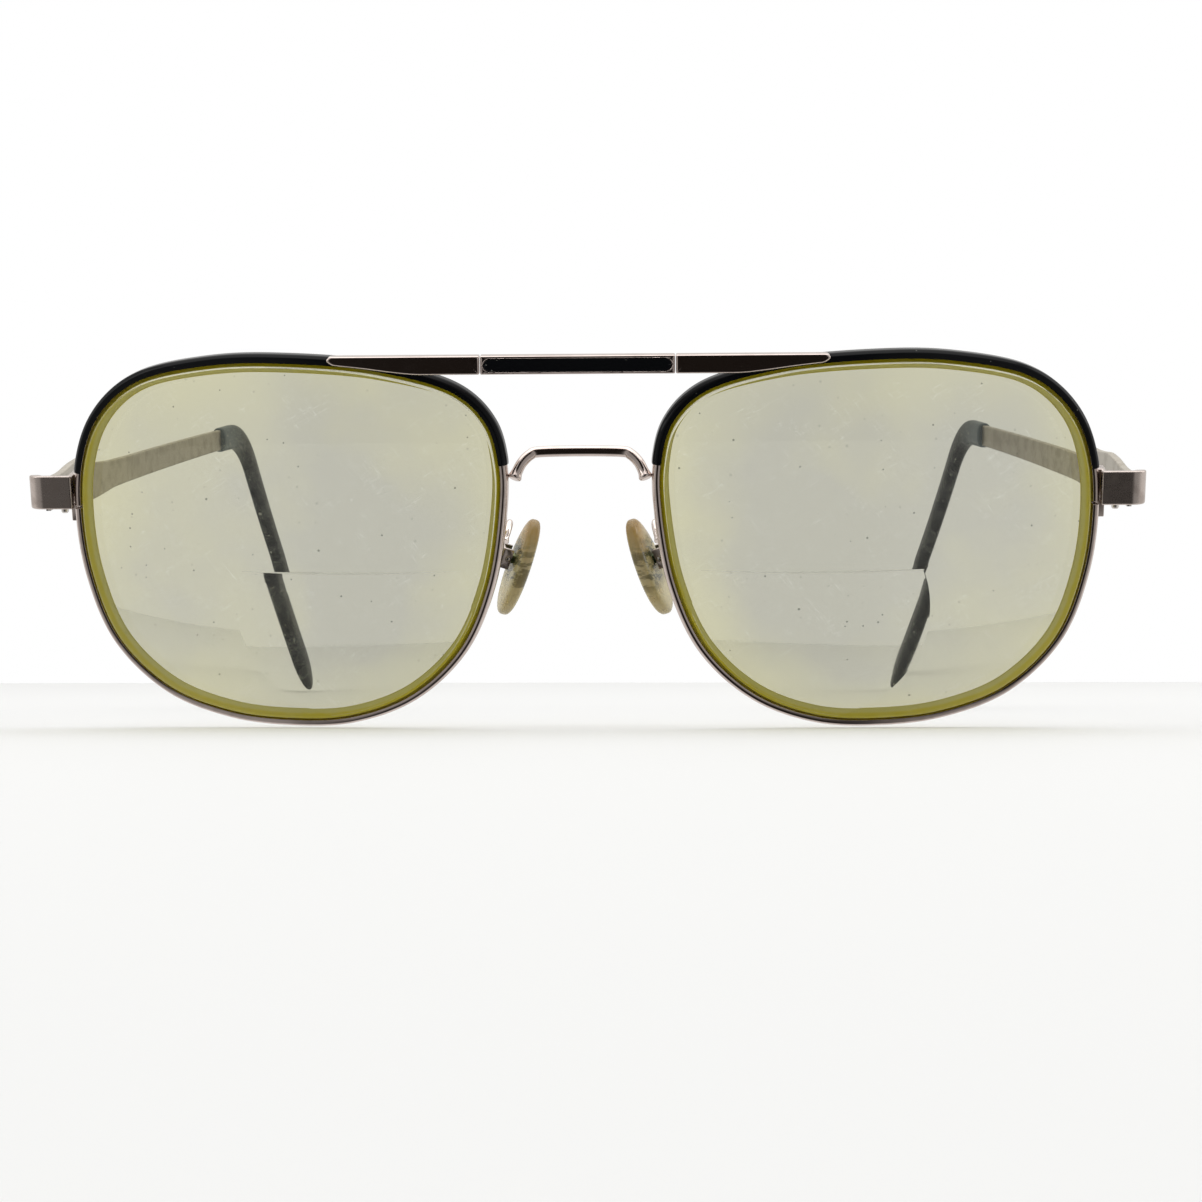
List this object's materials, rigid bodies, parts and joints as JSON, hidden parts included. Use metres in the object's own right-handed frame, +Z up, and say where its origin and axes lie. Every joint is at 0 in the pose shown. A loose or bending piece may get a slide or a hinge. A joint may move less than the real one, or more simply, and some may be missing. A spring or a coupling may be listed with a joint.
{
  "type": "eyeglasses",
  "caption": "Metal double-bridge aviator eyeglasses with tinted flat-top bifocal lenses, black enamelled upper rims, folding temples with plastic tips and rocking nose pads.",
  "frame": {"origin": "centre of the footprint on the surface the open glasses stand on, under the bounding box centre", "axes": "+X to the wearer's left across the front, +Y from the front towards the temple tips, +Z up"},
  "size_m": [0.1438, 0.1426, 0.051],
  "materials": {
    "gunmetal": "polished warm gunmetal plating",
    "black_enamel": "gloss black epoxy enamel",
    "tinted_lens": "polished optical plastic, pale yellow-green tint",
    "tip_plastic": "smoke-grey speckled acetate",
    "pad_plastic": "aged translucent yellowed plastic",
    "pad_metal": "tarnished, verdigris",
    "screw_steel": "turned and nickel plated"
  },
  "bodies": {
    "front": {"brow_bar": "gunmetal", "brow_inlay": "black_enamel", "lower_bridge": "gunmetal", "eyewire_left": "gunmetal", "eyewire_right": "gunmetal", "rim_enamel_left": "black_enamel", "rim_enamel_right": "black_enamel", "lens_left": "tinted_lens", "lens_right": "tinted_lens", "brow_wing_left": "gunmetal", "brow_wing_right": "gunmetal", "end_piece_left": "gunmetal", "end_piece_right": "gunmetal", "rim_lock_upper_left": "gunmetal", "rim_lock_upper_right": "gunmetal", "rim_lock_lower_left": "gunmetal", "rim_lock_lower_right": "gunmetal", "rim_lock_screw_left": "screw_steel", "rim_lock_screw_right": "screw_steel", "hinge_front_left": "gunmetal", "hinge_front_right": "gunmetal", "hinge_screw_left": "screw_steel", "hinge_screw_right": "screw_steel", "pad_arm_left": "gunmetal", "pad_arm_right": "gunmetal", "pad_box_left": "gunmetal", "pad_box_right": "gunmetal", "pad_screw_left": "screw_steel", "pad_screw_right": "screw_steel"},
    "temple_left": {"hinge_temple_left": "gunmetal", "temple_left": "gunmetal", "temple_tip_left": "tip_plastic"},
    "temple_right": {"hinge_temple_right": "gunmetal", "temple_right": "gunmetal", "temple_tip_right": "tip_plastic"},
    "nose_pad_left": {"nose_pad_left": "pad_plastic", "pad_insert_left": "pad_metal"},
    "nose_pad_right": {"nose_pad_right": "pad_plastic", "pad_insert_right": "pad_metal"}
  },
  "joints": [
    {"name": "temple_left_fold", "type": "hinge", "parent": "front", "child": "temple_left", "pos_m": [0.0692, -0.0506, 0.03083], "axis": [0, -0.2009, 0.9796], "range_deg": [0, 83]},
    {"name": "temple_right_fold", "type": "hinge", "parent": "front", "child": "temple_right", "pos_m": [-0.0692, -0.0506, 0.03083], "axis": [0, 0.2009, -0.9796], "range_deg": [0, 74]},
    {"name": "nose_pad_left_rock", "type": "hinge", "parent": "front", "child": "nose_pad_left", "pos_m": [0.00993, -0.05453, 0.02207], "axis": [0.1781, 0.9086, 0.3779], "range_deg": [-10, 10]},
    {"name": "nose_pad_right_rock", "type": "hinge", "parent": "front", "child": "nose_pad_right", "pos_m": [-0.00993, -0.05453, 0.02207], "axis": [0.1781, -0.9086, -0.3779], "range_deg": [-10, 10]}
  ]
}
